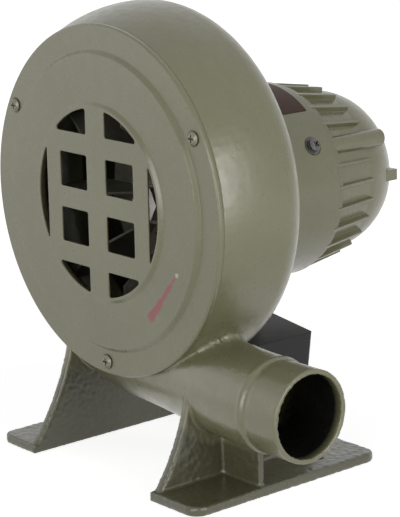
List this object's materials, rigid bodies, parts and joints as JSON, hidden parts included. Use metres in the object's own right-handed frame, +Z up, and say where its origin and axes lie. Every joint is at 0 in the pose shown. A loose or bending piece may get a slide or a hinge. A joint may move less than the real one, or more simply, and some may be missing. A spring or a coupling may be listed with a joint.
{
  "type": "electric fire blower",
  "caption": "Small cast centrifugal blower for a forge or charcoal fire: scroll on two feet, round side outlet, grilled intake, finned motor, switch box below",
  "frame": {"origin": "Middle of the blower's outline box on the floor that its two feet stand on.", "axes": "+Z is up. +X is the way the blast leaves the outlet collar. +Y is the way the motor points; the grilled intake cover faces -Y."},
  "size_m": [0.261, 0.227, 0.2612],
  "materials": {
    "enamel": "glossy olive-grey stove enamel over rough casting",
    "zinc_screws": "dull zinc plate",
    "bearing_steel": "ground steel",
    "laminations": "varnished laminated sheet steel",
    "copper_windings": "lacquered copper wire",
    "impeller_alloy": "plain sheet, slightly dulled",
    "bronze_foil": "dark bronze foil, bare",
    "black_moulding": "black moulded plastic, half matt",
    "black_gloss": "black moulded plastic, glossy",
    "capacitor_can": "pale grey plastic can",
    "pale_moulding": "pale moulded plastic",
    "lead_rubber": "insulated wire"
  },
  "bodies": {
    "frame": {"volute_housing": "enamel", "front_cover": "enamel", "motor_shell": "enamel", "end_bell": "enamel", "cover_screws": "zinc_screws", "shell_screws": "zinc_screws", "side_washers": "zinc_screws", "side_screw": "zinc_screws", "bell_screws": "zinc_screws", "lid_screws": "zinc_screws", "neck_screws": "zinc_screws", "capacitor_clamp": "zinc_screws", "front_bearing_outer": "bearing_steel", "rear_bearing_outer": "bearing_steel", "wave_washer": "bearing_steel", "stator_core": "laminations", "stator_windings": "copper_windings", "nameplate": "bronze_foil", "switch_box_base": "black_moulding", "switch_box_lid": "black_moulding", "switch_body": "black_moulding", "cable_gland": "black_gloss", "gland_nut": "black_gloss", "capacitor": "capacitor_can", "terminal_block": "pale_moulding", "motor_leads": "lead_rubber"},
    "rotor": {"shaft": "bearing_steel", "rotor_core": "laminations", "front_bearing_inner": "bearing_steel", "front_bearing_balls": "bearing_steel", "rear_bearing_inner": "bearing_steel", "rear_bearing_balls": "bearing_steel", "impeller_hub": "impeller_alloy", "impeller_plate": "impeller_alloy", "impeller_blades": "impeller_alloy", "impeller_rivets": "impeller_alloy", "impeller_washer": "zinc_screws", "impeller_nut": "zinc_screws"},
    "rocker": {"switch_rocker": "black_gloss"}
  },
  "joints": [
    {"name": "rotor_spin", "type": "hinge", "parent": "frame", "child": "rotor", "pos_m": [-0.01552, 0.041, 0.147], "axis": [0, 1, 0], "continuous": true},
    {"name": "rocker_tip", "type": "hinge", "parent": "frame", "child": "rocker", "pos_m": [-0.02167, 0.032, 0.04794], "axis": [0.9912, 0, -0.1323], "range_deg": [-20, 0]}
  ]
}
